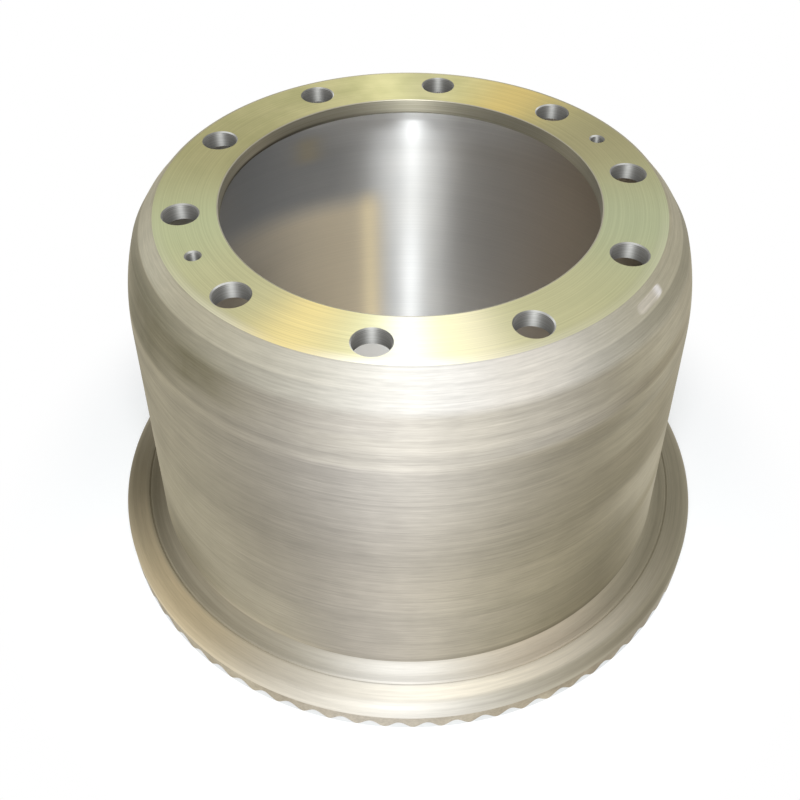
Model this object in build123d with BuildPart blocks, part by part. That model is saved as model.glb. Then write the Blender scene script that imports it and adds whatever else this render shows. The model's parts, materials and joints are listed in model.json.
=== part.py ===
from build123d import *
import math
import os

os.makedirs("parts", exist_ok=True)

# Brake drum, one casting. Millimetres, +Z up, origin at the centre of the open end,
# so the drum stands on its scalloped rim with the wheel mounting face on top.

# Main sizes
drum_height = 314.0
track_radius = 205.0
drum_wall = 11.9
web_thickness = 13.0

# Stud holes, on a circle this far inside the track and chamfered on the mounting face
stud_count = 10
stud_circle_inset = 37.5
stud_hole_radius = 13.0
stud_hole_chamfer = 0.9

# Centre bore, with the web between it and the stud holes, chamfered underneath
# to lead the hub's pilot in
pilot_land = 13.85
pilot_chamfer = 2.0

# Two tapped holes for M12 jacking screws, opposite each other, half way between studs
jack_count = 2
jack_core_radius = 5.1
jack_chamfer = 1.0
hole_chamfer_angle = 90.0

# Turned shoulder: its edges, inward from the top of the outer wall and down from the face
face_inset = 27.7
shoulder_mid_inset = 17.9
shoulder_mid_depth = 11.0
shoulder_low_inset = 10.7
shoulder_low_depth = 22.0
wall_top_depth = 78.0

# Outer wall, slightly wider toward the rim, in degrees
wall_taper = 2.15

# Rim flange, with heights above the open end
rim_overhang = 35.56
flange_height = 28.5
flange_fall = 2.5
flange_foot_round = 8.5
flange_corner_round = 8.0

# Fine turned groove on top of the flange, out from the foot of the wall
groove_offset = 13.7
groove_width = 2.6
groove_depth = 0.9

# Inside: hub seat under the web, cast shoulder, brake track and the wider mouth
hub_seat_inset = 14.9
inner_shoulder_angle = 20.0
inner_web_round = 13.0
inner_track_round = 34.0
track_end_height = 20.0
mouth_step = 7.0
mouth_cone_height = 13.0

# Conical bands that a round is turned in, by how far it bends
broad_bands = 3
middle_bands = 2
narrow_bands = 1

# Scallops round the lower edge of the rim. Their width is taken at half their depth,
# and the crests between them are rolled over for a short way on each side.
scallop_pitch = 22.1
scallop_phase = 0.93
scallop_depth = 7.2
scallop_width = 11.6
scallop_flank = 45.0
scallop_roll = 1.5
scallop_tilt = 16.0

# Balance cut ground flat into the shoulder
balance_angle = -45.9
balance_drop = 5.3
balance_width = 8.0
balance_depth = 0.45

# Length that a cutting tool runs past a face
run_out = 1.0


def below_face(depth):
    """Height above the open end of a point given by its depth below the mounting face."""
    return drum_height - depth


# Radii and heights that follow from the sizes above
taper = math.radians(wall_taper)
stud_circle_radius = track_radius - stud_circle_inset
pilot_radius = stud_circle_radius - stud_hole_radius - pilot_land
wall_top_radius = track_radius + drum_wall
wall_length = below_face(wall_top_depth) - flange_height
foot_radius = wall_top_radius + wall_length * math.tan(taper)
rim_radius = foot_radius + rim_overhang
face_radius = wall_top_radius - face_inset
shoulder_mid_radius = wall_top_radius - shoulder_mid_inset
shoulder_low_radius = wall_top_radius - shoulder_low_inset
hub_seat_radius = track_radius - hub_seat_inset
mouth_radius = track_radius + mouth_step
web_underside = below_face(web_thickness)
groove_inner = foot_radius + groove_offset - groove_width / 2
groove_outer = groove_inner + groove_width
groove_middle = foot_radius + groove_offset


def flange_top(radius):
    """Height at a radius of the flange's top, which falls outward."""
    return flange_height - flange_fall * (radius - foot_radius) / rim_overhang


def rounded(before, corner, after, radius, bands):
    """Points on the arc that rounds a corner of the section, at the ends of its bands."""
    back = (Vector(*before) - Vector(*corner)).normalized()
    ahead = (Vector(*after) - Vector(*corner)).normalized()
    turn = math.pi - math.radians(back.get_angle(ahead))
    reach = radius * math.tan(turn / 2)
    centre = Vector(*corner) + (back + ahead).normalized() * (radius / math.cos(turn / 2))
    first = Vector(*corner) + back * reach - centre
    last = Vector(*corner) + ahead * reach - centre
    points = []
    for step in range(bands + 1):
        part_turn = turn * step / bands
        spoke = first * math.sin(turn - part_turn) + last * math.sin(part_turn)
        points.append(centre + spoke / math.sin(turn))
    return points


# Corners of the section
wall_top = (wall_top_radius, below_face(wall_top_depth))
wall_foot = (foot_radius, flange_height)
groove_start = (groove_inner, flange_top(groove_inner))
groove_end = (groove_outer, flange_top(groove_outer))
flange_edge = (rim_radius, flange_top(rim_radius))
rim_bottom = (rim_radius, 0)
track_end = (track_radius, track_end_height)
inner_shoulder_drop = hub_seat_inset / math.tan(math.radians(inner_shoulder_angle))
track_top = (track_radius, web_underside - inner_shoulder_drop)
hub_seat_corner = (hub_seat_radius, web_underside)
hub_seat_edge = (pilot_radius + pilot_chamfer, web_underside)

# Flute tool: a round root between straight flanks that roll over at the crests. It leans,
# so that each scallop is deepest on the outer face and runs out on the underside of the rim.
tilt = math.radians(scallop_tilt)
flank = math.radians(scallop_flank)
scallop_count = round(2 * math.pi * rim_radius / scallop_pitch)
flute_depth = scallop_depth * math.cos(tilt)
flank_run = flute_depth / math.tan(flank) / 2
crest_half = scallop_width / 2 + flank_run
root_radius = (scallop_width / 2 - flank_run) / math.tan(flank / 2)
roll_half = crest_half - scallop_roll * math.cos(flank)
roll_height = scallop_roll * math.sin(flank)
foot_half = crest_half + scallop_roll + run_out / math.tan(flank / 2)
near_roll = (roll_half, roll_height)
far_roll = (-roll_half, roll_height)
flute_apex = (0, crest_half * math.tan(flank))
tool_start = run_out + scallop_depth * math.tan(tilt)
flute_length = tool_start + scallop_depth / math.sin(tilt) + run_out
flute_plane = Plane(
    origin=(rim_radius + tool_start * math.cos(tilt), 0, tool_start * math.sin(tilt)),
    x_dir=(0, -1, 0),
    z_dir=(-math.cos(tilt), 0, -math.sin(tilt)),
)
with BuildPart() as flute:
    with BuildSketch(flute_plane):
        with BuildLine():
            Polyline(
                (-foot_half, -run_out),
                (foot_half, -run_out),
                near_roll,
                *rounded(near_roll, flute_apex, far_roll, root_radius, broad_bands),
                far_roll,
                close=True,
            )
        make_face()
    extrude(amount=flute_length)

# Grinding tool for the balance cut, square to the upper band of the shoulder. It is
# far longer than the cut, which ends where the round shoulder leaves the flat tool.
lean = math.atan2(shoulder_mid_radius - face_radius, shoulder_mid_depth)
turn = math.radians(balance_angle)
balance_radius = face_radius + balance_drop * math.tan(lean)
cut_normal = Vector(
    math.cos(turn) * math.cos(lean),
    math.sin(turn) * math.cos(lean),
    math.sin(lean),
)
cut_spot = Vector(
    balance_radius * math.cos(turn),
    balance_radius * math.sin(turn),
    below_face(balance_drop),
)
cut_plane = Plane(
    origin=cut_spot - cut_normal * balance_depth,
    x_dir=(-math.sin(turn), math.cos(turn), 0),
    z_dir=cut_normal,
)
with BuildPart() as balance_tool:
    with BuildSketch(cut_plane):
        Rectangle(face_radius, balance_width)
    extrude(amount=balance_width)

with BuildPart() as brake_drum:
    # Section of the casting, turned about the axis
    with BuildSketch(Plane.XZ):
        with BuildLine():
            Polyline(
                wall_top,
                *rounded(wall_top, wall_foot, groove_start, flange_foot_round, broad_bands),
                groove_start,
                (groove_middle, flange_top(groove_middle) - groove_depth),
                groove_end,
                *rounded(groove_end, flange_edge, rim_bottom, flange_corner_round, broad_bands),
                rim_bottom,
                (mouth_radius, 0),
                (mouth_radius, mouth_cone_height),
                track_end,
                *rounded(track_end, track_top, hub_seat_corner, inner_track_round, narrow_bands),
                *rounded(track_top, hub_seat_corner, hub_seat_edge, inner_web_round, middle_bands),
                hub_seat_edge,
                (pilot_radius, web_underside + pilot_chamfer),
                (pilot_radius, drum_height),
                (face_radius, drum_height),
                (shoulder_mid_radius, below_face(shoulder_mid_depth)),
                (shoulder_low_radius, below_face(shoulder_low_depth)),
            )
            TangentArc(
                wall_top,
                (shoulder_low_radius, below_face(shoulder_low_depth)),
                tangent=(-math.sin(taper), math.cos(taper)),
            )
        make_face()
    revolve(axis=Axis.Z)

    # Stud holes through the web
    with Locations((0, 0, drum_height)):
        with PolarLocations(stud_circle_radius, stud_count):
            CounterSinkHole(
                radius=stud_hole_radius,
                counter_sink_radius=stud_hole_radius + stud_hole_chamfer,
                depth=web_thickness + run_out,
                counter_sink_angle=hole_chamfer_angle,
            )

    # Jacking screw holes on the same circle
    with Locations((0, 0, drum_height)):
        with PolarLocations(stud_circle_radius, jack_count, start_angle=180 / stud_count):
            CounterSinkHole(
                radius=jack_core_radius,
                counter_sink_radius=jack_core_radius + jack_chamfer,
                depth=web_thickness + run_out,
                counter_sink_angle=hole_chamfer_angle,
            )

    # Scallops, one at each pitch of the rim
    with PolarLocations(0, scallop_count, start_angle=scallop_phase):
        add(flute.part, mode=Mode.SUBTRACT)

    # Balance cut
    add(balance_tool.part, mode=Mode.SUBTRACT)

brake_drum.part.label = "brake_drum"
export_step(brake_drum.part, "parts/brake_drum.step")
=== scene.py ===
import json
import math
from functools import partial

import bpy
import numpy as np
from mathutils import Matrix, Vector


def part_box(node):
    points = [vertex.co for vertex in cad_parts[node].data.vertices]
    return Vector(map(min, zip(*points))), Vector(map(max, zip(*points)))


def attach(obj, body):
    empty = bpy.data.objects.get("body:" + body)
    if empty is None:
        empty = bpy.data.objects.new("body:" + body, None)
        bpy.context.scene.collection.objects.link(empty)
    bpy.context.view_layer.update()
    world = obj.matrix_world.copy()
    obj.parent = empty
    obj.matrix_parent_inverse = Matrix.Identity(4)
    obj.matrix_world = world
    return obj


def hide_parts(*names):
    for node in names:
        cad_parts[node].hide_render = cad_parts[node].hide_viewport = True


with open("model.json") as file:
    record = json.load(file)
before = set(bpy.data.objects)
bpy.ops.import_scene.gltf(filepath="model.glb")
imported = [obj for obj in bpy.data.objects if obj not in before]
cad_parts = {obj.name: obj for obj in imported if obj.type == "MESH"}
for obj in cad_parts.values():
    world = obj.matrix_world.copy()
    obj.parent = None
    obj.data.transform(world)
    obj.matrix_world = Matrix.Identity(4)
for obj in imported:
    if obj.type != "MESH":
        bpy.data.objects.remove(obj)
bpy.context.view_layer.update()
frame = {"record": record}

# Looks of a turned brake drum. Metres, with the drum standing on its scalloped rim
# at the origin and the wheel mounting face on top.

MM = 0.001

# Sizes that the frame gives
mounts = {mount["name"]: mount for mount in frame["record"]["mounts"]}
pilot_radius = mounts["pilot_bore"]["dims"]["r_mm"] * MM
stud_circle = mounts["stud_holes"]["dims"]["pcd_mm"] * MM / 2
stud_count = mounts["stud_holes"]["dims"]["count"]
stud_radius = mounts["stud_holes"]["dims"]["hole_r_mm"] * MM
jack_radius = mounts["jacking_hole_1"]["dims"]["r_mm"] * MM
track_radius = mounts["brake_track"]["dims"]["r_mm"] * MM
face_height = mounts["wheel_face"]["pos_m"][2]
web_height = mounts["hub_face"]["pos_m"][2]
rim_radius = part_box("brake_drum")[1].x

# Outside of the casting
wall_top_radius = track_radius + 11.9 * MM
wall_top_height = face_height - 78.0 * MM
wall_taper = math.radians(2.15)
rim_overhang = 35.56 * MM
flange_height = 28.5 * MM
flange_fall = 2.5 * MM
foot_round = 8.5 * MM
corner_round = 8.0 * MM
face_radius = wall_top_radius - 27.7 * MM
shoulder_mid = (wall_top_radius - 17.9 * MM, face_height - 11.0 * MM)
shoulder_low = (wall_top_radius - 10.7 * MM, face_height - 22.0 * MM)
shoulder_round = 2.5 * MM
edge_round = 0.8 * MM

# Share of the shoulder's big arc that is left between the rounds of its neighbours
shoulder_arc_share = 0.985

# Fine groove on top of the flange
groove_offset = 13.7 * MM
groove_width = 2.6 * MM
groove_depth = 0.9 * MM
groove_round = 0.25 * MM

# Inside of the casting
hub_seat_radius = track_radius - 14.9 * MM
inner_slope = math.radians(20.0)
inner_web_round = 13.0 * MM
inner_track_round = 12.0 * MM
mouth_radius = track_radius + 7.0 * MM
mouth_height = 13.0 * MM
track_end_height = 20.0 * MM
pilot_chamfer = 2.0 * MM
fine_round = 0.5 * MM

# Holes
stud_chamfer = 0.9 * MM
jack_chamfer = 1.0 * MM
under_chamfer = 0.3 * MM

# Scallops round the foot of the rim
scallop_pitch = 22.1 * MM
scallop_phase = math.radians(0.93)
scallop_depth = 7.2 * MM
scallop_width = 11.6 * MM
scallop_tilt = math.radians(16.0)
scallop_count = round(math.tau * rim_radius / scallop_pitch)
run_out_round = 0.25 * MM
run_out_margin = 3.2 * MM

# Balance cut ground flat into the shoulder
balance_azimuth = math.radians(-45.6)
balance_drop = 7.0 * MM
balance_width = 8.0 * MM
balance_depth = 0.45 * MM
balance_edge = 0.3 * MM

# How far the cut's pale colour and painted shine reach from its middle: degrees to each side, and up
# and down
balance_reach = 4.6
balance_rise = 3 * MM

# Columns of the mesh: five to a scallop on the body and twenty on the rim
body_columns = 5 * scallop_count
rim_columns = 4 * body_columns
stud_columns = 19
sector_columns = body_columns // stud_count

# Steps of the mesh: along a sector's sides, out from a hole, down the rim and under it
web_steps = 12
web_rings = 4
rim_face_rows = 3
run_out_rows = 11

# Fineness of the mesh: how far a chord may leave its arc, the longest facet along a line,
# the width of a ring of triangles between wide and fine columns, and what a weld reaches
chord_sag = 0.03 * MM
longest_facet = 28 * MM
fan_width = 2.6 * MM
weld_reach = 0.002 * MM

body_step = math.tau / body_columns
rim_step = math.tau / rim_columns
body_azimuths = (np.arange(body_columns) - stud_columns / 2) * body_step
first_rim_column = round((body_azimuths[0] - scallop_phase) / rim_step)
rim_azimuths = scallop_phase + (np.arange(rim_columns) + first_rim_column) * rim_step

# Finishes of the casting, in the order of its materials
FINISHES = ("face", "wall", "flange", "cast", "track", "bore", "hole")

# Studio: half the floor's side, its grey and the glow that makes it plain white, the radii that
# its shadow turns to white between, the even light of the room and the colour of the lamps
floor_half = 6.0
floor_grey = 0.8
floor_glow = 0.25
shadow_radius = 1.04 * rim_radius
white_radius = 1.5 * rim_radius
room_light = 0.2
lamp_colour = (0.93, 0.97, 1.0)

# The photograph's camera: its place, the way it looks, and its lens in millimetres
camera_place = (-0.10916, -0.61371, 0.71825)
camera_way = (0.11588, 0.69980, -0.70488)
camera_lens = 44.389
camera_sensor = 36.0


def left_of(way):
    """The direction a quarter turn to the left of a direction in the section."""
    return np.stack([-way[..., 1], way[..., 0]], axis=-1)


def turned_path(corners):
    """Rows of a turned section: straight lines whose corners are rounded by arcs.

    A corner is (radius, height, round). Its arc leaves the first line at round * tan(turn / 2)
    before the corner, and a point on it is the arc's centre less or plus the round along the
    normal. It is cut so finely that its chords leave it by no more than the sag, which is
    round * (1 - cos(facet / 2)).
    The normal is the direction of travel turned a quarter left, so it points out of the metal.
    Each row is (radius, height, normal along the radius, normal along the height).
    """
    places = np.array([corner[:2] for corner in corners])
    ways = np.diff(places, axis=0)
    ways /= np.linalg.norm(ways, axis=1)[:, None]
    rows = [np.hstack([places[0], left_of(ways[0])])[None]]
    for place, before, after, corner in zip(places[1:-1], ways[:-1], ways[1:], corners[1:-1]):
        turn = math.atan2(before[0] * after[1] - before[1] * after[0], before @ after)
        side = math.copysign(1.0, turn)
        start = place - before * corner[2] * math.tan(abs(turn) / 2)
        centre = start + side * corner[2] * left_of(before)
        facet = 2 * math.acos(1 - chord_sag / max(corner[2], 2 * chord_sag))
        count = math.ceil(abs(turn) / facet) if corner[2] else 0
        heading = math.atan2(before[1], before[0]) + turn * np.linspace(0, 1, count + 1)
        normals = left_of(np.stack([np.cos(heading), np.sin(heading)], axis=-1))
        rows.append(np.hstack([centre - side * corner[2] * normals, normals]))
    rows.append(np.hstack([places[-1], left_of(ways[-1])])[None])
    rows = np.vstack(rows)
    lengths = np.linalg.norm(np.diff(rows[:, :2], axis=0), axis=1)
    counts = np.ceil(lengths / longest_facet).astype(int)
    pieces = [
        first + (last - first) * (np.arange(count) / count)[:, None]
        for first, last, count in zip(rows[:-1], rows[1:], counts)
    ]
    return np.vstack(pieces + [rows[-1:]])


def revolve(rows, azimuths):
    """Points and normals of a section turned about the axis.

    The point at azimuth a is (radius * cos a, radius * sin a, height), and the normal turns
    the same way.
    """
    around = np.stack([np.cos(azimuths), np.sin(azimuths)], axis=-1)
    points = np.empty((len(rows), len(azimuths), 3))
    normals = np.empty_like(points)
    points[..., :2] = rows[:, 0, None, None] * around
    points[..., 2] = rows[:, 1, None]
    normals[..., :2] = rows[:, 2, None, None] * around
    normals[..., 2] = rows[:, 3, None]
    return points, normals


class Skin:
    """The patches of one closed surface, which meet point to point."""

    def __init__(self):
        self.points = []
        self.normals = []
        self.faces = {3: [], 4: []}
        self.finishes = {3: [], 4: []}
        self.count = 0

    def add(self, points, normals, faces, finish):
        """Keeps a patch, with its faces turned to agree with its normals."""
        corners = points[faces]
        across = np.cross(corners[:, 1] - corners[:, 0], corners[:, -1] - corners[:, 0])
        if np.sum(across * normals[faces[:, 0]]) < 0:
            faces = faces[:, ::-1]
        sides = faces.shape[1]
        self.faces[sides].append(faces + self.count)
        self.finishes[sides].append(np.full(len(faces), FINISHES.index(finish)))
        self.points.append(points)
        self.normals.append(normals)
        self.count += len(points)

    def grid(self, points, normals, finish, closed=True):
        """Four-sided faces between neighbouring rows and columns of a grid of points."""
        rows, columns = points.shape[:2]
        index = np.arange(rows * columns).reshape(rows, columns)
        if closed:
            index = np.hstack([index, index[:, :1]])
        corners = (index[:-1, :-1], index[:-1, 1:], index[1:, 1:], index[1:, :-1])
        faces = np.stack(corners, axis=-1).reshape(-1, 4)
        self.add(points.reshape(-1, 3), normals.reshape(-1, 3), faces, finish)

    def fan(self, wide, fine, normal, finish):
        """Triangles between a ring of wide columns and one of four times as many fine columns.

        Between the wide points w and w + 1 lie the fine points 4w to 4w + 4. The first two fine
        gaps join w, the last two join w + 1, and one triangle joins both to the middle point.
        """
        count = len(wide)
        near = np.arange(count)
        far = np.roll(near, -1)
        steps = [count + (4 * near + step) % (4 * count) for step in range(5)]
        triangles = [
            (near, steps[1], steps[0]),
            (near, steps[2], steps[1]),
            (near, far, steps[2]),
            (far, steps[3], steps[2]),
            (far, steps[4], steps[3]),
        ]
        faces = np.concatenate([np.stack(triangle, axis=-1) for triangle in triangles])
        points = np.concatenate([wide, fine])
        self.add(points, normal, faces, finish)

    def mesh(self, name):
        """One mesh of all patches, with points that coincide welded and each corner's normal kept."""
        points = np.concatenate(self.points)
        normals = np.concatenate(self.normals)
        keys = np.round(points / weld_reach).astype(np.int64)
        _, firsts, welded = np.unique(keys, axis=0, return_index=True, return_inverse=True)
        quads = np.concatenate(self.faces[4])
        triangles = np.concatenate(self.faces[3])
        welded = welded.ravel()
        mesh = bpy.data.meshes.new(name)
        mesh.from_pydata(points[firsts], [], welded[quads].tolist() + welded[triangles].tolist())
        finishes = np.concatenate(self.finishes[4] + self.finishes[3]).astype(np.int32)
        mesh.polygons.foreach_set("material_index", finishes)
        mesh.polygons.foreach_set("use_smooth", np.ones(len(finishes), bool))
        corners = normals[np.concatenate([quads.ravel(), triangles.ravel()])]
        mesh.normals_split_custom_set(corners / np.linalg.norm(corners, axis=1)[:, None])
        mesh.update()
        return mesh


def ring(radius, height, azimuths):
    """A circle of points about the axis."""
    return np.stack(
        [radius * np.cos(azimuths), radius * np.sin(azimuths), np.full(len(azimuths), height)],
        axis=-1,
    )


def sector_loop(first, count, inner, outer):
    """The closed outline, in plan, of the web between two radii and over some body columns."""
    azimuths = (np.arange(first, first + count + 1) - stud_columns / 2) * body_step
    sides = inner + (outer - inner) * np.arange(web_steps) / web_steps
    radii = np.concatenate(
        [np.full(count, inner), sides, np.full(count, outer), inner + outer - sides]
    )
    angles = np.concatenate(
        [
            azimuths[:-1],
            np.full(web_steps, azimuths[-1]),
            azimuths[:0:-1],
            np.full(web_steps, azimuths[0]),
        ]
    )
    return np.stack([radii * np.cos(angles), radii * np.sin(angles)], axis=-1)


def hole_loop(loop, centre, radius):
    """The points of a hole's edge that lie towards the points of the outline around it."""
    spokes = loop - centre
    return centre + radius * spokes / np.linalg.norm(spokes, axis=1)[:, None]


def bored_sector(skin, first, count, radius, chamfer, limits):
    """A sector of the web with one hole: both faces, two chamfers and the hole's wall.

    A face's point lies a share of the way from the hole's edge to the sector's outline. The wall
    joins circles of the same number of points, and its normals point at the hole's axis.
    """
    middle = (first + count / 2 - stud_columns / 2) * body_step
    centre = stud_circle * np.array([math.cos(middle), math.sin(middle)])
    edges = []
    for height, (inner, outer), cut, sign in (
        (face_height, limits["face"], chamfer, 1.0),
        (web_height, limits["seat"], under_chamfer, -1.0),
    ):
        loop = sector_loop(first, count, inner, outer)
        edge = hole_loop(loop, centre, radius + cut)
        share = (np.arange(web_rings + 1) / web_rings)[:, None, None]
        points = np.empty((web_rings + 1, len(loop), 3))
        points[..., :2] = edge + (loop - edge) * share
        points[..., 2] = height
        normals = np.zeros_like(points)
        normals[..., 2] = sign
        skin.grid(points, normals, "face" if sign > 0 else "cast")
        wall = hole_loop(loop, centre, radius)
        inward = (centre - wall) / radius
        lip = np.empty((2, len(loop), 3))
        lip[0, :, :2] = edge
        lip[0, :, 2] = height
        lip[1, :, :2] = wall
        lip[1, :, 2] = height - sign * cut
        slope = np.empty_like(lip)
        slope[..., :2] = inward
        slope[..., 2] = sign
        skin.grid(lip, slope, "hole")
        edges.append((lip[1], inward))
    points = np.stack([edge for edge, _ in edges])
    normals = np.zeros_like(points)
    normals[..., :2] = np.stack([inward for _, inward in edges])
    skin.grid(points, normals, "hole")


def plain_sector(skin, first, count, limits):
    """A sector of the web with no hole: two flat grids in radius and azimuth."""
    azimuths = (np.arange(first, first + count + 1) - stud_columns / 2) * body_step
    for height, (inner, outer), sign in (
        (face_height, limits["face"], 1.0),
        (web_height, limits["seat"], -1.0),
    ):
        radii = np.linspace(inner, outer, web_steps + 1)
        rows = np.stack(
            [radii, np.full(len(radii), height), 0 * radii, np.full(len(radii), sign)], axis=-1
        )
        points, normals = revolve(rows, azimuths)
        skin.grid(points, normals, "face" if sign > 0 else "cast", closed=False)


def add_web(skin, limits):
    """The web, sector by sector: a stud hole in every other one, and two jacking holes between."""
    jack_azimuths = [
        math.atan2(mounts[name]["pos_m"][1], mounts[name]["pos_m"][0]) % math.tau
        for name in ("jacking_hole_1", "jacking_hole_2")
    ]
    between_columns = sector_columns - stud_columns
    for sector in range(stud_count):
        first = sector * sector_columns
        bored_sector(skin, first, stud_columns, stud_radius, stud_chamfer, limits)
        first += stud_columns
        middle = math.tau * (sector + 0.5) / stud_count
        if min(abs(middle - azimuth) for azimuth in jack_azimuths) < body_step:
            bored_sector(skin, first, between_columns, jack_radius, jack_chamfer, limits)
        else:
            plain_sector(skin, first, between_columns, limits)


def flange_top(radius):
    """Height of the flange's top, which falls outward from the foot of the wall."""
    return flange_height - flange_fall * (radius - rim_radius + rim_overhang) / rim_overhang


def shoulder_corner():
    """The corner whose round is the shoulder's big arc, and that arc's radius.

    The arc touches the wall at its top and passes through the shoulder's lowest edge. Its chord
    makes an angle with the wall's line. The radius is chord / (2 * sin(angle)), and the corner
    is as far above the wall's top as the radius times the angle's tangent.
    """
    wall_way = np.array([-math.sin(wall_taper), math.cos(wall_taper)])
    top = np.array([wall_top_radius, wall_top_height])
    chord = np.array(shoulder_low) - top
    length = np.linalg.norm(chord)
    angle = math.acos(chord @ wall_way / length)
    radius = length / (2 * math.sin(angle))
    return top + wall_way * radius * math.tan(angle), radius


def outside_rows():
    """The turned outside: edge of the face, shoulder, wall, foot, groove and flange."""
    # Rows of the balance cut, by their share of the way down the shoulder's upper band
    start = np.array([face_radius, face_height])
    along = np.array(shoulder_mid) - start
    half = balance_width / 2
    offsets = np.array([-half, balance_edge - half, -half / 2, 0, half / 2, half - balance_edge, half])
    shares = balance_drop / (face_height - shoulder_mid[1]) + offsets / np.linalg.norm(along)
    cut_rows = [(*(start + along * share), 0.0) for share in shares]
    corner, radius = shoulder_corner()
    foot_radius = rim_radius - rim_overhang
    groove_inner = foot_radius + groove_offset - groove_width / 2
    groove_middle = foot_radius + groove_offset
    groove_outer = groove_inner + groove_width
    end = groove_outer + 2 * fan_width
    return turned_path(
        [
            (face_radius - 2 * edge_round, face_height, 0.0),
            (face_radius, face_height, edge_round),
            *cut_rows,
            (*shoulder_mid, shoulder_round),
            (*shoulder_low, shoulder_round),
            (*corner, radius * shoulder_arc_share),
            (foot_radius, flange_height, foot_round),
            (groove_inner, flange_top(groove_inner), groove_round),
            (groove_middle, flange_top(groove_middle) - groove_depth, groove_round),
            (groove_outer, flange_top(groove_outer), groove_round),
            (end, flange_top(end), 0.0),
        ]
    )


def grind_balance_cut(rows, points, normals):
    """Lowers the points inside the balance cut onto its flat.

    At an azimuth away from the cut's middle the shoulder has fallen by radius * (1 - cos) along
    the radius, so the cut goes in by its depth less that fall times the normal's level part.
    """
    rise = math.atan2(shoulder_mid[0] - face_radius, face_height - shoulder_mid[1])
    flat = np.array(
        [
            math.cos(balance_azimuth) * math.cos(rise),
            math.sin(balance_azimuth) * math.cos(rise),
            math.sin(rise),
        ]
    )
    slant = (face_height - rows[:, 1]) / math.cos(rise)
    offset = np.abs(slant - balance_drop / math.cos(rise))
    inside = (offset < balance_width / 2 - balance_edge / 2) & (rows[:, 1] > shoulder_mid[1])
    swing = body_azimuths - balance_azimuth
    depth = balance_depth - rows[:, 0, None] * (1 - np.cos(swing)) * math.cos(rise)
    depth = np.where(inside[:, None], np.maximum(depth, 0), 0)
    points -= depth[..., None] * flat
    normals[depth > 0] = flat


def scallop_height(azimuths, radius):
    """Height of the rim's underside, and its slopes along the radius and around.

    Across a scallop the height is a raised cosine of the distance from its middle line, as wide
    at half depth as the scallop. Inward from the outer face it sinks by the tangent of the tilt.
    Where it would pass under the flat, a soft maximum holds it there.
    """
    pitch = math.tau / scallop_count
    swing = (azimuths - scallop_phase + pitch / 2) % pitch - pitch / 2

    def height(swing, radius):
        across = np.clip(radius * swing / scallop_width, -1, 1)
        cut = scallop_depth * (1 + np.cos(math.pi * across)) / 2
        cut = cut - (rim_radius - radius) * math.tan(scallop_tilt)
        return (cut + np.sqrt(cut**2 + run_out_round**2)) / 2

    small = 0.01 * MM
    along = (height(swing, radius + small) - height(swing, radius - small)) / (2 * small)
    onward = height(swing + small / radius, radius)
    around = (onward - height(swing - small / radius, radius)) / (2 * small)
    return height(swing, radius), along, around


def add_rim(skin, start_radius, end_radius):
    """The rim on fine columns: corner round, outer face, lower edge and scalloped underside.

    The outer face runs from the round down to the scalloped edge in equal shares of its height.
    The edge's row at angle a lies edge * (1 - cos a) inward and edge * (1 - sin a) above the
    underside.
    """
    above = turned_path(
        [
            (start_radius, flange_top(start_radius), 0.0),
            (rim_radius, flange_top(rim_radius), corner_round),
            (rim_radius, flange_height / 2, 0.0),
        ]
    )
    skin.grid(*revolve(above, rim_azimuths), "flange")

    cosines = np.cos(rim_azimuths)
    sines = np.sin(rim_azimuths)
    lowest = scallop_height(rim_azimuths, rim_radius)[0] + edge_round
    shares = np.linspace(0, 1, rim_face_rows + 1)[:, None]
    heights = flange_height / 2 + (lowest - flange_height / 2) * shares
    points = np.empty((len(heights), rim_columns, 3))
    points[..., 0] = rim_radius * cosines
    points[..., 1] = rim_radius * sines
    points[..., 2] = heights
    normals = np.zeros_like(points)
    normals[..., 0] = cosines
    normals[..., 1] = sines
    skin.grid(points, normals, "cast")

    turns = np.radians(np.array([0.0, 30.0, 60.0, 90.0]))
    reach = scallop_depth / math.tan(scallop_tilt)
    inward = np.linspace(0, 1, run_out_rows + 1)[1:] * (reach + edge_round)
    edge_radii = rim_radius - edge_round * (1 - np.cos(turns))
    radii = np.concatenate([edge_radii, rim_radius - edge_round - inward, [end_radius]])
    lift = np.zeros(len(radii))
    lift[: len(turns)] = edge_round * (1 - np.sin(turns))
    facing = np.ones(len(radii))
    facing[: len(turns)] = np.sin(turns)
    height, along, around = scallop_height(rim_azimuths[None], radii[:, None])
    height[-1] = 0
    points = np.empty((len(radii), rim_columns, 3))
    points[..., 0] = radii[:, None] * cosines
    points[..., 1] = radii[:, None] * sines
    points[..., 2] = height + lift[:, None]
    outward = np.sqrt(1 - facing**2)[:, None] + along * facing[:, None]
    sideways = around * facing[:, None]
    normals = np.empty_like(points)
    normals[..., 0] = outward * cosines - sideways * sines
    normals[..., 1] = outward * sines + sideways * cosines
    normals[..., 2] = -facing[:, None]
    skin.grid(points, normals, "cast")


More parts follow.
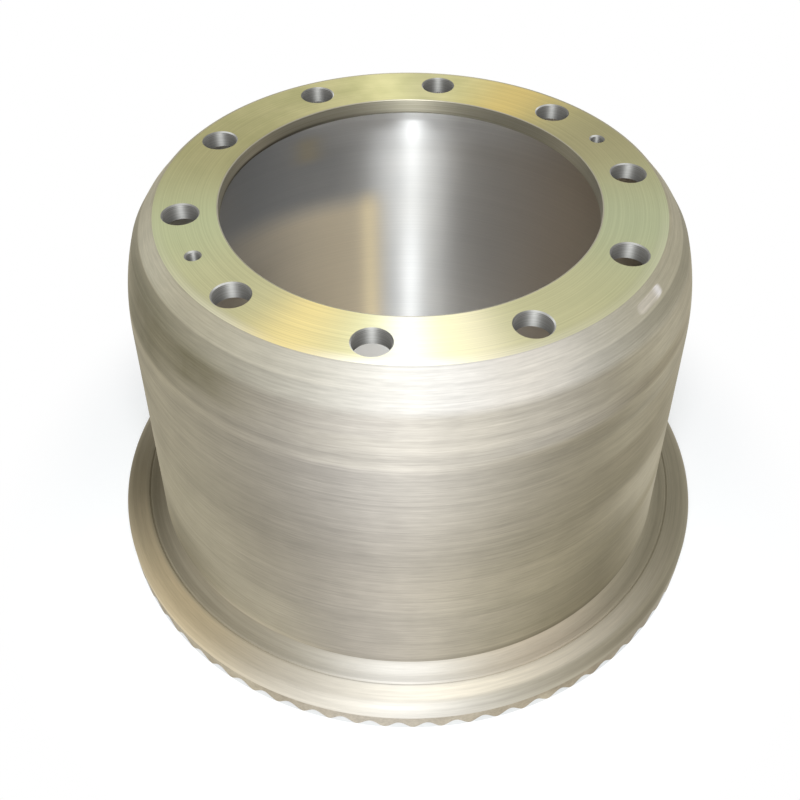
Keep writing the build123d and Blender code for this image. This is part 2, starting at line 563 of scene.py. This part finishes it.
def drum_mesh():
    """The whole casting as one closed surface."""
    skin = Skin()
    outside = outside_rows()
    points, normals = revolve(outside, body_azimuths)
    grind_balance_cut(outside, points, normals)
    # The flange's finish starts at the row where the foot's round leaves the wall
    foot_start = rim_radius - rim_overhang - foot_round * wall_taper
    foot = int(np.argmax(outside[:, 0] > foot_start))
    skin.grid(points[: foot + 1], normals[: foot + 1], "wall")
    skin.grid(points[foot:], normals[foot:], "flange")

    flange_end = outside[-1, 0]
    rim_start = flange_end + fan_width
    wide = ring(flange_end, outside[-1, 1], body_azimuths)
    fine = ring(rim_start, flange_top(rim_start), rim_azimuths)
    last_row = outside[-1:]
    normal = np.concatenate(
        [revolve(last_row, azimuths)[1][0] for azimuths in (body_azimuths, rim_azimuths)]
    )
    skin.fan(wide, fine, normal, "flange")

    flat_radius = rim_radius - scallop_depth / math.tan(scallop_tilt) - run_out_margin
    add_rim(skin, rim_start, flat_radius)

    stand_radius = flat_radius - fan_width
    wide = ring(stand_radius, 0.0, body_azimuths)
    fine = ring(flat_radius, 0.0, rim_azimuths)
    skin.fan(wide, fine, np.tile([0.0, 0.0, -1.0], (len(wide) + len(fine), 1)), "cast")

    seat_edge = hub_seat_radius - inner_web_round * math.tan((math.pi / 2 - inner_slope) / 2)
    track_top = web_height - (track_radius - hub_seat_radius) / math.tan(inner_slope)
    mouth = turned_path(
        [
            (stand_radius, 0.0, 0.0),
            (mouth_radius, 0.0, edge_round),
            (mouth_radius, mouth_height, edge_round),
            (track_radius, track_end_height, edge_round),
            (track_radius, track_end_height + 2 * edge_round, 0.0),
        ]
    )
    skin.grid(*revolve(mouth, body_azimuths), "cast")
    track = turned_path(
        [
            (track_radius, track_end_height + 2 * edge_round, 0.0),
            (track_radius, track_top, inner_track_round),
            (hub_seat_radius, web_height, inner_web_round),
            (seat_edge - fine_round, web_height, 0.0),
        ]
    )
    skin.grid(*revolve(track, body_azimuths), "track")

    bore = turned_path(
        [
            (pilot_radius + pilot_chamfer + 2 * fine_round, web_height, 0.0),
            (pilot_radius + pilot_chamfer, web_height, fine_round),
            (pilot_radius, web_height + pilot_chamfer, fine_round),
            (pilot_radius, face_height, fine_round),
            (pilot_radius + 2 * fine_round, face_height, 0.0),
        ]
    )
    skin.grid(*revolve(bore, body_azimuths), "bore")
    limits = {
        "face": (bore[-1, 0], outside[0, 0]),
        "seat": (bore[0, 0], track[-1, 0]),
    }
    add_web(skin, limits)
    return skin.mesh("drum_casting")


def node(tree, kind, **settings):
    """A new shader node with its settings."""
    made = tree.nodes.new(kind)
    for name, value in settings.items():
        setattr(made, name, value)
    return made


def math_node(tree, operation, *values, clamp=False):
    """The result of one sum on sockets or plain numbers."""
    made = node(tree, "ShaderNodeMath", operation=operation, use_clamp=clamp)
    for socket, value in zip(made.inputs, values):
        if isinstance(value, (int, float)):
            socket.default_value = value
        else:
            tree.links.new(value, socket)
    return made.outputs[0]


def places(tree):
    """Sockets for a point's radius from the axis, its height and the unit vector of its azimuth."""
    coordinates = node(tree, "ShaderNodeTexCoord").outputs["Object"]
    level = node(tree, "ShaderNodeVectorMath", operation="MULTIPLY")
    level.inputs[1].default_value = (1, 1, 0)
    tree.links.new(coordinates, level.inputs[0])
    length = node(tree, "ShaderNodeVectorMath", operation="LENGTH")
    tree.links.new(level.outputs[0], length.inputs[0])
    way = node(tree, "ShaderNodeVectorMath", operation="NORMALIZE")
    tree.links.new(level.outputs[0], way.inputs[0])
    split = node(tree, "ShaderNodeSeparateXYZ")
    tree.links.new(coordinates, split.inputs[0])
    return length.outputs["Value"], split.outputs["Z"], way.outputs[0]


def tool_marks(tree, spots, width, wander, detail=2.0):
    """Noise drawn out round the axis, as a turning tool leaves it.

    It is read at four coordinates: radius and height over the mark's width, and the two parts
    of the azimuth's unit vector times the wander, so a mark has no seam where it closes.
    """
    radius, height, way = spots
    stretch = node(tree, "ShaderNodeVectorMath", operation="SCALE")
    stretch.inputs["Scale"].default_value = wander
    tree.links.new(way, stretch.inputs[0])
    split = node(tree, "ShaderNodeSeparateXYZ")
    tree.links.new(stretch.outputs[0], split.inputs[0])
    join = node(tree, "ShaderNodeCombineXYZ")
    tree.links.new(split.outputs["X"], join.inputs["X"])
    tree.links.new(split.outputs["Y"], join.inputs["Y"])
    tree.links.new(math_node(tree, "DIVIDE", height, width), join.inputs["Z"])
    noise = node(tree, "ShaderNodeTexNoise", noise_dimensions="4D")
    noise.inputs["Scale"].default_value = 1.0
    noise.inputs["Detail"].default_value = detail
    tree.links.new(join.outputs[0], noise.inputs["Vector"])
    tree.links.new(math_node(tree, "DIVIDE", radius, width), noise.inputs["W"])
    return noise.outputs["Fac"]


def mottle(tree, size, detail):
    """Cloudy noise over the surface, for stains and cast skin."""
    coordinates = node(tree, "ShaderNodeTexCoord").outputs["Object"]
    noise = node(tree, "ShaderNodeTexNoise")
    noise.inputs["Scale"].default_value = 1 / size
    noise.inputs["Detail"].default_value = detail
    tree.links.new(coordinates, noise.inputs["Vector"])
    return noise.outputs["Fac"]


def ramp(tree, fac, stops):
    """A colour that follows a number through stops of (place, colour)."""
    made = node(tree, "ShaderNodeValToRGB")
    band = made.color_ramp
    while len(band.elements) < len(stops):
        band.elements.new(0.5)
    for element, (place, colour) in zip(band.elements, stops):
        element.position = place
        element.color = (*colour, 1)
    tree.links.new(fac, made.inputs[0])
    return made.outputs["Color"]


def greys(tree, fac, *stops):
    """A grey that follows a number through stops of (place, grey)."""
    return ramp(tree, fac, [(place, (grey,) * 3) for place, grey in stops])


def linear(red, green, blue):
    """A colour read on a scale of 255, as the light that it stands for."""
    shares = np.array([red, green, blue]) / 255
    curved = ((shares + 0.055) / 1.055) ** 2.4
    return tuple(np.where(shares > 0.04045, curved, shares / 12.92).tolist())


def clouded(tree, noise, dark, pale, low=0.3, high=0.7):
    """A colour that a noise takes from a dark one to a pale one, both on a scale of 255."""
    return ramp(tree, noise, [(low, linear(*dark)), (high, linear(*pale))])


def blend(tree, fac, first, second, mode="MIX"):
    """Two colours mixed by a number or a socket."""
    made = node(tree, "ShaderNodeMix", data_type="RGBA", blend_type=mode)
    if isinstance(fac, (int, float)):
        made.inputs["Factor"].default_value = fac
    else:
        tree.links.new(fac, made.inputs["Factor"])
    for socket, value in ((made.inputs["A"], first), (made.inputs["B"], second)):
        if isinstance(value, tuple):
            socket.default_value = (*value, 1)
        else:
            tree.links.new(value, socket)
    return made.outputs["Result"]


def azimuth_share(tree, way, azimuth, sharpness=1.0):
    """One towards an azimuth in degrees, falling to nothing on the far side.

    The share is the squared cosine of half the angle between, to the power of the sharpness.
    It is down to a half 30 degrees away at a sharpness of 10, and 3 degrees away at 1000.
    """
    toward = node(tree, "ShaderNodeVectorMath", operation="DOT_PRODUCT")
    angle = math.radians(azimuth)
    toward.inputs[1].default_value = (math.cos(angle), math.sin(angle), 0)
    tree.links.new(way, toward.inputs[0])
    half = math_node(tree, "MULTIPLY_ADD", toward.outputs["Value"], 0.5, 0.5, clamp=True)
    return math_node(tree, "POWER", half, sharpness)


def rising(tree, place, start, end):
    """Nothing before the start and one past the end, with a smooth rise between them.

    Where the start is the higher of the two, it is one below them and nothing above.
    """
    made = node(tree, "ShaderNodeMapRange", interpolation_type="SMOOTHSTEP")
    made.inputs["From Min"].default_value = start
    made.inputs["From Max"].default_value = end
    tree.links.new(place, made.inputs["Value"])
    return made.outputs["Result"]


def between(tree, place, low, high, fade):
    """One between two places, fading to nothing outside them."""
    above = rising(tree, place, low - fade, low)
    below = rising(tree, place, high + fade, high)
    return math_node(tree, "MULTIPLY", above, below)


def past(tree, way, azimuth, blur):
    """Nothing just before an azimuth in degrees, one just past it and half way round from there.

    The dot product with the direction a quarter turn on is the sine of the angle past the azimuth.
    """
    onward = math.radians(azimuth + 90)
    sine = node(tree, "ShaderNodeVectorMath", operation="DOT_PRODUCT")
    sine.inputs[1].default_value = (math.cos(onward), math.sin(onward), 0)
    tree.links.new(way, sine.inputs[0])
    return rising(tree, sine.outputs["Value"], -blur, blur)


def patch(tree, way, azimuth, sharpness, share, band=1.0):
    """How strongly a patch shows: its share towards its azimuth, within its band."""
    near = math_node(tree, "MULTIPLY", azimuth_share(tree, way, azimuth, sharpness), share)
    return math_node(tree, "MULTIPLY", near, band)


def rounded_spot(tree, way, height, azimuth, reach, level, rise):
    """One inside a spot with rounded corners, which reaches some degrees and metres from its middle.

    Its edge is where the angle over its reach and the height over its rise, each to the fourth
    power, add up to one. One less the cosine share of a small angle is its half, squared.
    """
    whole = 1 / math.sin(math.radians(reach) / 2) ** 2
    along = math_node(tree, "MULTIPLY_ADD", azimuth_share(tree, way, azimuth), -whole, whole)
    across = math_node(tree, "MULTIPLY_ADD", height, 1 / rise, -level / rise)
    across = math_node(tree, "MULTIPLY", across, across)
    along_squared = math_node(tree, "MULTIPLY", along, along)
    total = math_node(tree, "MULTIPLY_ADD", across, across, along_squared)
    return rising(tree, total, 1.6, 0.5)


def tinted(tree, base, *tints):
    """A base colour with tints laid over it one by one: (colour on a scale of 255, share)."""
    for colour, share in tints:
        base = blend(tree, share, base, linear(*colour))
    return base


def shaded(tree, base, marks, low, high):
    """A colour made darker and lighter by a noise, between two factors."""
    return blend(tree, 1.0, base, greys(tree, marks, (0.3, low), (0.7, high)), "MULTIPLY")


def metal(name, roughness, anisotropy, metallic=1.0):
    """A metal finish whose highlights are drawn out across the marks that run round the axis."""
    material = bpy.data.materials.new(name)
    material.use_nodes = True
    tree = material.node_tree
    shader = tree.nodes["Principled BSDF"]
    shader.inputs["Metallic"].default_value = metallic
    shader.inputs["Roughness"].default_value = roughness
    shader.inputs["Anisotropic"].default_value = anisotropy
    shader.inputs["Anisotropic Rotation"].default_value = 0.25
    tangent = node(tree, "ShaderNodeTangent", direction_type="RADIAL", axis="Z")
    tree.links.new(tangent.outputs[0], shader.inputs["Tangent"])
    return material, tree, shader


def relief(tree, shader, height, distance, strength):
    """Bump of a height field, in metres."""
    bump = node(tree, "ShaderNodeBump")
    bump.inputs["Strength"].default_value = strength
    bump.inputs["Distance"].default_value = distance
    tree.links.new(height, bump.inputs["Height"])
    tree.links.new(bump.outputs[0], shader.inputs["Normal"])


def face_finish():
    """Mounting face: finely turned, with a thin oil film that goes from gold to green.

    Its gold and green are partly the film and partly painted reflection of the surroundings. It is
    paler in front and white in the lamp's streak as painted highlight, and darker on the far streak as
    painted shade.
    """
    material, tree, shader = metal("turned_face", 0.53, 0.84)
    spots = places(tree)
    near = partial(patch, tree, spots[2])
    edge = rising(tree, spots[0], face_radius - 11.2 * MM, face_radius - 2.2 * MM)
    marks = tool_marks(tree, spots, 0.9 * MM, 1.0)
    tint_and_reflection = clouded(tree, mottle(tree, 30 * MM, 3.0), (178, 175, 126), (198, 192, 144))
    tint_and_reflection = tinted(
        tree,
        tint_and_reflection,
        # The film all round: green at the sides, darker and golden behind, paler in front as painted
        # highlight, and darkest on the lamp's far streak as painted shade
        ((210, 207, 166), near(-100, 1.6, 0.9)),
        ((188, 196, 160), near(-22, 20, 0.8)),
        ((200, 208, 166), near(-178, 30, 0.8)),
        ((166, 159, 120), near(20, 24, 0.8)),
        ((168, 162, 114), near(150, 20, 0.6)),
        ((216, 194, 124), near(49, 90, 0.9)),
        ((120, 116, 92), near(76, 160, 0.45)),
        # Its outer edge, paler on the right, and at the front as painted highlight
        ((208, 208, 180), near(-33, 60, 0.5, edge)),
        ((238, 234, 222), near(-110, 8, 0.75, edge)),
        # The lamp's streak as painted highlight: golden on each side of it and neutral in it, so that
        # it shines white
        ((248, 230, 164), near(-125, 160, 0.9)),
        ((238, 230, 198), near(-85, 260, 0.7)),
        ((200, 199, 192), near(-100.5, 320, 0.9)),
    )
    tree.links.new(shaded(tree, tint_and_reflection, marks, 0.9, 1.05), shader.inputs["Base Color"])
    relief(tree, shader, marks, 0.03 * MM, 0.4)
    return material


def wall_rings(tree, height):
    """Darker and lighter rings up the wall, as factors of its colour, by share of the height.

    They stand partly for turning marks and partly for painted light and shade up the wall.
    """
    return greys(
        tree,
        math_node(tree, "DIVIDE", height, face_height),
        (0.115, 0.86),
        (0.135, 0.99),
        (0.2, 0.955),
        (0.26, 0.97),
        (0.285, 0.93),
        (0.306, 1.0),
        (0.33, 1.0),
        (0.347, 1.06),
        (0.365, 1.0),
        (0.42, 1.0),
        (0.52, 0.9),
        (0.63, 0.925),
        (0.73, 0.965),
        (0.764, 0.885),
        (0.782, 0.93),
        (0.79, 0.98),
        (0.806, 1.03),
        (0.822, 0.9),
        (0.844, 1.05),
        (0.866, 0.97),
        (0.888, 1.05),
        (0.92, 0.97),
    )


def shoulder_colour(tree, way, height):
    """The two turned bands of the shoulder, the lower one darker, and the bright balance cut.

    Towards the lamp in front the shoulder is lighter as painted highlight. The cut is pale partly as
    ground metal and partly as painted sheen, with a painted glint at one end.
    """
    near = partial(patch, tree, way)
    middle = shoulder_mid[1]
    lowest = shoulder_low[1]
    lower_band = between(tree, height, lowest - 8 * MM, middle - 1.5 * MM, 1 * MM)
    upper_band = rising(tree, height, middle - 1 * MM, middle + 1 * MM)
    lower_edge = rising(tree, height, lowest + 4 * MM, lowest - 4 * MM)
    level = face_height - balance_drop
    azimuth = math.degrees(balance_azimuth)
    cut = rounded_spot(tree, way, height, azimuth, balance_reach, level, balance_rise)
    return tinted(
        tree,
        linear(180, 172, 147),
        ((134, 127, 104), math_node(tree, "MULTIPLY", lower_band, 0.6)),
        ((206, 200, 178), near(-168, 60, 0.7, upper_band)),
        ((196, 188, 166), near(-48, 40, 0.6, lower_edge)),
        # Painted highlight in front, where the lamp falls, and broader to its right
        ((195, 191, 185), near(-93, 11, 1.0)),
        ((220, 212, 200), near(-77, 120, 0.6)),
        # The ground cut, pale partly as ground metal and partly as painted sheen, and a painted glint
        # at its end
        ((220, 211, 199), math_node(tree, "MULTIPLY", cut, 0.5)),
        ((240, 235, 232), near(-42.0, 8000, 0.75, cut)),
    )


def wall_finish():
    """Outer wall and shoulder: coarser turning, ringed, streaked and stained.

    The shoulder is paler and less metallic than the wall. Towards the lamp in front the wall is greyer
    and lighter, and it is lighter just under the shoulder, both as painted highlight.
    """
    material, tree, shader = metal("turned_wall", 0.7, 0.75)
    spots = places(tree)
    height, way = spots[1:]
    near = partial(patch, tree, way)
    up_from = partial(rising, tree, height)
    zone = partial(between, tree, height)
    fine = tool_marks(tree, spots, 1.1 * MM, 1.5)
    grain = tool_marks(tree, spots, 1.0 * MM, 14.0)
    bands = tool_marks(tree, spots, 3.5 * MM, 0.6, 3.0)
    streaks = tool_marks(tree, spots, 14 * MM, 1.6, 3.0)
    clouds = mottle(tree, 26 * MM, 4.0)
    patchy = greys(tree, clouds, (0.3, 0.55), (0.7, 0.95))
    shoulder = up_from(shoulder_low[1] - 6 * MM, shoulder_low[1] + 3 * MM)
    middle = up_from(0.12, 0.26)
    under_shoulder = up_from(0.249, 0.257)
    foot_top = flange_height + foot_round
    foot = up_from(foot_top + 6 * MM, foot_top)
    base = clouded(tree, streaks, (155, 147, 122), (168, 159, 135))
    base = tinted(
        tree,
        base,
        # The whole height of the wall, greyer towards the lamp in front as painted highlight colour
        ((192, 185, 162), near(-143, 40, 0.45)),
        ((152, 146, 138), near(-108, 18, 0.85)),
        ((146, 138, 115), near(-61, 70, 0.5)),
        # Its upper half, darker on the left and lighter towards the lamp in front as painted
        # highlight, and the lighter band under the shoulder, also painted highlight
        ((138, 131, 108), near(-173, 160, 0.6, zone(0.2, 0.236, 0.012))),
        ((190, 186, 181), near(-101, 14, 0.42, middle)),
        ((204, 198, 184), near(-113, 70, 0.2, zone(0.252, 0.272, 0.004))),
        ((202, 196, 185), near(-76, 50, 0.6, under_shoulder)),
        # Its lower part on the left
        ((198, 190, 168), near(-130, 110, 0.35, up_from(0.10, 0.08))),
        ((118, 111, 92), near(-156, 110, 0.4, up_from(0.085, 0.07))),
        # Bands on the right
        ((196, 188, 166), near(-45, 90, 0.7, zone(0.125, 0.152, 0.02))),
        ((194, 186, 166), near(-34, 60, 0.5, up_from(0.11, 0.09))),
        ((190, 183, 162), near(-47, 90, 0.5, zone(0.236, 0.252, 0.003))),
        ((192, 185, 164), near(-46, 60, 0.8, up_from(0.262, 0.272))),
        ((190, 183, 160), near(-55, 160, 0.4, zone(0.212, 0.235, 0.006))),
        ((120, 113, 92), near(-54, 120, 0.4, zone(0.096, 0.128, 0.015))),
        # Just above the foot's round
        ((212, 202, 180), near(-134, 60, 0.8, foot)),
        ((122, 114, 96), near(-66, 30, 0.5, foot)),
        ((124, 116, 94), near(-56, 70, 0.5, zone(0.045, 0.08, 0.02))),
    )
    base = blend(tree, 1.0, base, wall_rings(tree, height), "MULTIPLY")
    base = blend(tree, shoulder, base, shoulder_colour(tree, way, height))
    base = tinted(
        tree,
        base,
        # Stains on the shoulder's large round, and a lighter patch towards the front
        ((118, 112, 88), near(-164, 60, patchy, zone(0.262, 0.292, 0.014))),
        ((126, 120, 94), near(-143, 110, patchy, zone(0.274, 0.286, 0.012))),
        ((214, 208, 194), near(-121, 60, 0.12, up_from(0.262, 0.272))),
    )
    base = shaded(tree, base, clouds, 0.95, 1.03)
    base = shaded(tree, base, bands, 0.93, 1.03)
    base = shaded(tree, base, grain, 0.92, 1.06)
    tree.links.new(shaded(tree, base, fine, 0.92, 1.05), shader.inputs["Base Color"])
    metallic = math_node(tree, "MULTIPLY_ADD", shoulder, -0.4, 1.0)
    tree.links.new(metallic, shader.inputs["Metallic"])
    relief(tree, shader, math_node(tree, "ADD", fine, bands), 0.05 * MM, 0.5)
    return material


def flange_finish():
    """The foot's round, the flange's top and its corner: bright turned iron, golden on one side.

    Towards the lamp in front its colour holds painted highlight: neutral at the lamp, cream and
    lighter beside it.
    """
    material, tree, shader = metal("turned_flange", 0.66, 0.75)
    spots = places(tree)
    radius, _, way = spots
    near = partial(patch, tree, way)
    out_from = partial(rising, tree, radius)
    marks = tool_marks(tree, spots, 1.4 * MM, 1.4)
    grain = tool_marks(tree, spots, 1.0 * MM, 14.0)
    bands = tool_marks(tree, spots, 4 * MM, 0.6, 3.0)
    outer = out_from(0.237, 0.243)
    base = clouded(tree, bands, (168, 160, 140), (184, 176, 156))
    base = tinted(
        tree,
        base,
        # From the foot to the corner, and the part inside the groove
        ((112, 105, 86), near(178, 24, 0.9)),
        # Painted highlight: neutral at the lamp and cream to its right
        ((184, 181, 177), near(-101, 24, 0.8)),
        ((208, 196, 178), near(-70, 50, 0.7, out_from(0.243, 0.237))),
        ((150, 144, 124), near(-20, 10, 0.8)),
        # Outside the groove and on the corner
        ((214, 198, 164), near(-147, 20, 0.85, outer)),
        # Painted highlight on each side of the lamp, lighter on the corner and the outer ring
        ((208, 203, 194), near(-119, 50, 0.55, outer)),
        ((226, 218, 202), near(-76, 20, 0.9, between(tree, radius, 0.243, 0.250, 0.006))),
        ((128, 120, 100), near(-51, 60, 0.6, out_from(0.255, 0.259))),
    )
    base = shaded(tree, base, grain, 0.95, 1.04)
    tree.links.new(shaded(tree, base, marks, 0.93, 1.04), shader.inputs["Base Color"])
    relief(tree, shader, marks, 0.04 * MM, 0.4)
    return material


def cast_finish():
    """Scalloped rim, underside and hub seat: duller iron with a brown cast."""
    material, tree, shader = metal("rough_iron", 0.6, 0.2, 0.9)
    spots = places(tree)
    near = partial(patch, tree, spots[2])
    grain = mottle(tree, 2.2 * MM, 5.0)
    stains = mottle(tree, 24 * MM, 3.0)
    base = clouded(tree, stains, (146, 134, 112), (174, 163, 141), 0.35, 0.65)
    base = tinted(
        tree,
        base,
        # Lighter and greyer towards the lamp in front: painted highlight
        ((190, 182, 170), near(-104, 40, 0.7)),
        ((126, 116, 96), near(-51, 60, 0.6)),
    )
    tree.links.new(shaded(tree, base, grain, 0.86, 1.06), shader.inputs["Base Color"])
    streak = tool_marks(tree, spots, 1.2 * MM, 3.0)
    relief(tree, shader, math_node(tree, "ADD", grain, streak), 0.12 * MM, 0.5)
    return material


def track_finish():
    """Brake track: honed smooth, so its highlight is one narrow upright streak.

    A tan patch lies low on one side as painted reflection, and there the iron is less metallic and
    scatters the light. The streak's ends are painted highlight, and painted shade darkens the right
    and low at the back.
    """
    material, tree, shader = metal("honed_track", 0.37, 1.0)
    spots = places(tree)
    height, way = spots[1:]
    near = partial(patch, tree, way)
    up_from = partial(rising, tree, height)
    marks = tool_marks(tree, spots, 0.8 * MM, 1.0)
    clouds = mottle(tree, 90 * MM, 2.0)
    low_side = math_node(tree, "MULTIPLY", up_from(0.194, 0.160), past(tree, way, 88.5, 0.08))
    tint_and_reflection = near(98, 9, 1.0, low_side)
    base = clouded(tree, clouds, (196, 195, 193), (206, 204, 200), 0.35, 0.65)
    base = tinted(
        tree,
        base,
        # Duller on the right and darker still there as painted shade, painted shade low at the back,
        # bluer high up on the left
        ((196, 180, 160), near(30, 20, 0.9)),
        ((112, 104, 90), near(6, 60, 0.7)),
        ((118, 106, 92), near(138, 90, 0.6, up_from(0.15, 0.125))),
        ((166, 170, 176), near(126, 30, 0.6, up_from(0.17, 0.20))),
        # Painted highlight at the upper end of the streak, a tan painted reflection beside it, and
        # painted highlight at the streak's lower end
        ((255, 254, 252), near(80, 18, 1.0, up_from(0.228, 0.264))),
        ((226, 210, 168), near(107.3, 900, 0.5, between(tree, height, 0.236, 0.246, 0.014))),
        ((255, 254, 252), near(79.5, 1100, 0.75, up_from(0.19, 0.07))),
        # The tan painted reflection low on one side, and its bright edge, also painted reflection
        ((224, 208, 180), tint_and_reflection),
        ((255, 236, 196), near(91.2, 1600, 1.0, low_side)),
    )
    tree.links.new(shaded(tree, base, marks, 0.95, 1.02), shader.inputs["Base Color"])
    metallic = math_node(tree, "MULTIPLY_ADD", tint_and_reflection, -0.5, 0.94)
    tree.links.new(metallic, shader.inputs["Metallic"])
    relief(tree, shader, marks, 0.01 * MM, 0.3)
    return material


def bore_finish():
    """Wall of the centre bore, darker low down at the back as painted shade."""
    material, tree, shader = metal("bored_wall", 0.45, 0.8)
    spots = places(tree)
    marks = tool_marks(tree, spots, 0.8 * MM, 1.5)
    base = clouded(tree, marks, (158, 153, 134), (182, 176, 158))
    low = rising(tree, spots[1], web_height + 5.5 * MM, web_height + 2.5 * MM)
    # Painted shade where the bore's wall meets the web at the back
    base = tinted(tree, base, ((70, 66, 58), patch(tree, spots[2], 142, 5, 0.9, low)))
    tree.links.new(base, shader.inputs["Base Color"])
    relief(tree, shader, marks, 0.03 * MM, 0.5)
    return material


def hole_finish():
    """Drilled walls of the stud and jacking holes, a plain grey."""
    material, tree, shader = metal("drilled_wall", 0.68, 0.85)
    height = places(tree)[1]
    noise = node(tree, "ShaderNodeTexNoise", noise_dimensions="1D")
    noise.inputs["Scale"].default_value = 1.0
    tree.links.new(math_node(tree, "DIVIDE", height, 0.7 * MM), noise.inputs["W"])
    rings = noise.outputs["Fac"]
    base = clouded(tree, rings, (147, 146, 142), (171, 169, 165))
    tree.links.new(base, shader.inputs["Base Color"])
    relief(tree, shader, rings, 0.05 * MM, 0.5)
    return material


def add_drum():
    """The casting, which stands for its solid."""
    mesh = drum_mesh()
    makers = {
        "face": face_finish,
        "wall": wall_finish,
        "flange": flange_finish,
        "cast": cast_finish,
        "track": track_finish,
        "bore": bore_finish,
        "hole": hole_finish,
    }
    for name in FINISHES:
        mesh.materials.append(makers[name]())
    drum = bpy.data.objects.new("drum_casting", mesh)
    bpy.context.scene.collection.objects.link(drum)
    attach(drum, "root")
    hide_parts("brake_drum")


def shown_ray(tree):
    """One for rays that show the background: from the camera, or off metal, or through glass."""
    path = node(tree, "ShaderNodeLightPath")
    seen = math_node(tree, "MAXIMUM", path.outputs["Is Camera Ray"], path.outputs["Is Glossy Ray"])
    return math_node(tree, "MAXIMUM", seen, path.outputs["Is Transmission Ray"])


def add_floor():
    """A wide pale floor that turns to plain white away from the drum.

    Rays that show the background also see a glow of the light that the floor's colour lacks, but
    not under the drum. Past the shadow the floor is white to those rays, whatever lights it.
    The glow lights nothing, so it isn't sampled as a lamp.
    """
    half = floor_half
    corners = np.array([[-half, -half, 0], [half, -half, 0], [half, half, 0], [-half, half, 0]])
    mesh = bpy.data.meshes.new("floor")
    mesh.from_pydata(corners, [], [(0, 1, 2, 3)])
    floor = bpy.data.objects.new("floor", mesh)
    bpy.context.scene.collection.objects.link(floor)
    material = bpy.data.materials.new("pale_floor")
    material.cycles.emission_sampling = "NONE"
    material.use_nodes = True
    tree = material.node_tree
    shader = tree.nodes["Principled BSDF"]
    shader.inputs["Base Color"].default_value = (floor_grey, floor_grey, floor_grey, 1)
    shader.inputs["Roughness"].default_value = 0.9
    shader.inputs["Emission Color"].default_value = (1, 1, 1, 1)
    radius = places(tree)[0]
    shown = shown_ray(tree)
    outside = math_node(tree, "GREATER_THAN", radius, rim_radius)
    shown_outside = math_node(tree, "MULTIPLY", shown, outside)
    glow = math_node(tree, "MULTIPLY", shown_outside, floor_glow)
    tree.links.new(glow, shader.inputs["Emission Strength"])
    white = node(tree, "ShaderNodeEmission")
    fade = rising(tree, radius, shadow_radius, white_radius)
    mix = node(tree, "ShaderNodeMixShader")
    tree.links.new(math_node(tree, "MULTIPLY", fade, shown), mix.inputs["Fac"])
    tree.links.new(shader.outputs[0], mix.inputs[1])
    tree.links.new(white.outputs[0], mix.inputs[2])
    tree.links.new(mix.outputs[0], tree.nodes["Material Output"].inputs["Surface"])
    mesh.materials.append(material)


def add_world():
    """Even studio light from all round, which shows as plain white."""
    world = bpy.data.worlds.new("studio")
    bpy.context.scene.world = world
    world.use_nodes = True
    tree = world.node_tree
    background = tree.nodes["Background"]
    background.inputs["Color"].default_value = (1, 1, 1, 1)
    strength = math_node(tree, "MULTIPLY_ADD", shown_ray(tree), 1 - room_light, room_light)
    tree.links.new(strength, background.inputs["Strength"])


def add_lamp(name, azimuth, elevation, distance, width, height, power):
    """A soft lamp that looks at the drum's middle from an azimuth and an elevation in degrees."""
    middle = Vector((0, 0, face_height / 2))
    level = math.cos(math.radians(elevation))
    way = Vector(
        (
            math.cos(math.radians(azimuth)) * level,
            math.sin(math.radians(azimuth)) * level,
            math.sin(math.radians(elevation)),
        )
    )
    light = bpy.data.lights.new(name, "AREA")
    light.shape = "RECTANGLE"
    light.size = width
    light.size_y = height
    light.energy = power
    light.color = lamp_colour
    lamp = bpy.data.objects.new(name, light)
    lamp.location = middle + way * distance
    lamp.rotation_euler = (-way).to_track_quat("-Z", "Y").to_euler()
    bpy.context.scene.collection.objects.link(lamp)


def add_lamps():
    """A broad lamp up in front, and an upright strip lamp under it that makes the streaks."""
    add_lamp(
        "broad_lamp",
        azimuth=-100.0,
        elevation=50.0,
        distance=1.8,
        width=0.8,
        height=0.5,
        power=27.0,
    )
    add_lamp(
        "strip_lamp",
        azimuth=-101.0,
        elevation=31.0,
        distance=1.75,
        width=0.04,
        height=1.2,
        power=10.5,
    )


def add_camera():
    """The camera where the photograph was taken from."""
    lens = bpy.data.cameras.new("view")
    lens.lens = camera_lens
    lens.sensor_width = camera_sensor
    camera = bpy.data.objects.new("view", lens)
    camera.location = camera_place
    camera.rotation_euler = Vector(camera_way).to_track_quat("-Z", "Y").to_euler()
    bpy.context.scene.collection.objects.link(camera)
    bpy.context.scene.camera = camera


add_drum()
add_floor()
add_world()
add_lamps()
add_camera()
bpy.context.scene.view_settings.view_transform = "Standard"
